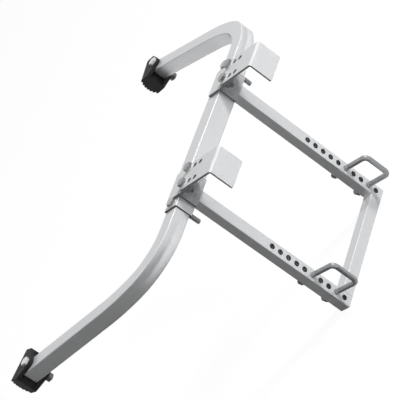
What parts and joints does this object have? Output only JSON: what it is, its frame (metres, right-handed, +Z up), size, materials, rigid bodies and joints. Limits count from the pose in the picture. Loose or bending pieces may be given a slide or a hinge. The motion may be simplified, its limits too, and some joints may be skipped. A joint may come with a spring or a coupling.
{
  "type": "ladder stabiliser",
  "caption": "Ladder stand-off with a hooked and clamped U-frame, two bent square-tube arms and swivelling rubber feet for the wall",
  "frame": {"origin": "centre of the sleeve tube's back face, between the two brackets", "axes": "+X along the sleeve to the right arm, +Y to the wall, +Z up when the ladder stands"},
  "size_m": [0.8594, 0.5401, 0.426],
  "materials": {
    "aluminium": "satin",
    "zinc_steel": "bright zinc plate",
    "rubber": "matt black"
  },
  "bodies": {
    "frame": {"sleeve_tube": "aluminium", "arm_right": "aluminium", "arm_left": "aluminium", "leg_right": "aluminium", "leg_left": "aluminium", "crossbar": "aluminium", "weld_beads_right": "aluminium", "weld_beads_left": "aluminium", "top_plate_right": "aluminium", "top_plate_left": "aluminium", "back_plate_right": "aluminium", "back_plate_left": "aluminium", "hook_plate_right": "aluminium", "hook_plate_left": "aluminium", "hook_bolts_right": "zinc_steel", "hook_bolts_left": "zinc_steel", "hook_washers_right": "zinc_steel", "hook_washers_left": "zinc_steel", "hook_nuts_right": "zinc_steel", "hook_nuts_left": "zinc_steel", "through_bolt_right": "zinc_steel", "through_bolt_left": "zinc_steel", "through_washer_right": "zinc_steel", "through_washer_left": "zinc_steel", "through_insert_right": "zinc_steel", "through_insert_left": "zinc_steel", "foot_bolt_right": "zinc_steel", "foot_bolt_left": "zinc_steel", "foot_washer_right": "zinc_steel", "foot_washer_left": "zinc_steel", "foot_nut_right": "zinc_steel", "foot_nut_left": "zinc_steel"},
    "foot_right": {"rubber_foot_right": "rubber"},
    "u_bolt_right": {"u_bolt_right": "zinc_steel", "u_washers_right": "zinc_steel", "u_nuts_right": "zinc_steel"},
    "foot_left": {"rubber_foot_left": "rubber"},
    "u_bolt_left": {"u_bolt_left": "zinc_steel", "u_washers_left": "zinc_steel", "u_nuts_left": "zinc_steel"}
  },
  "joints": [
    {"name": "foot_swivel_right", "type": "hinge", "parent": "frame", "child": "foot_right", "pos_m": [0.398, 0.38364, 0], "axis": [0, 0, 1], "range_deg": [-11, 15]},
    {"name": "u_bolt_slide_right", "type": "slide", "parent": "frame", "child": "u_bolt_right", "axis": [0, 1, 0], "range_m": [0, 0.045]},
    {"name": "foot_swivel_left", "type": "hinge", "parent": "frame", "child": "foot_left", "pos_m": [-0.398, 0.38364, 0], "axis": [0, 0, 1], "range_deg": [-15, 11]},
    {"name": "u_bolt_slide_left", "type": "slide", "parent": "frame", "child": "u_bolt_left", "axis": [0, 1, 0], "range_m": [0, 0.045]}
  ]
}
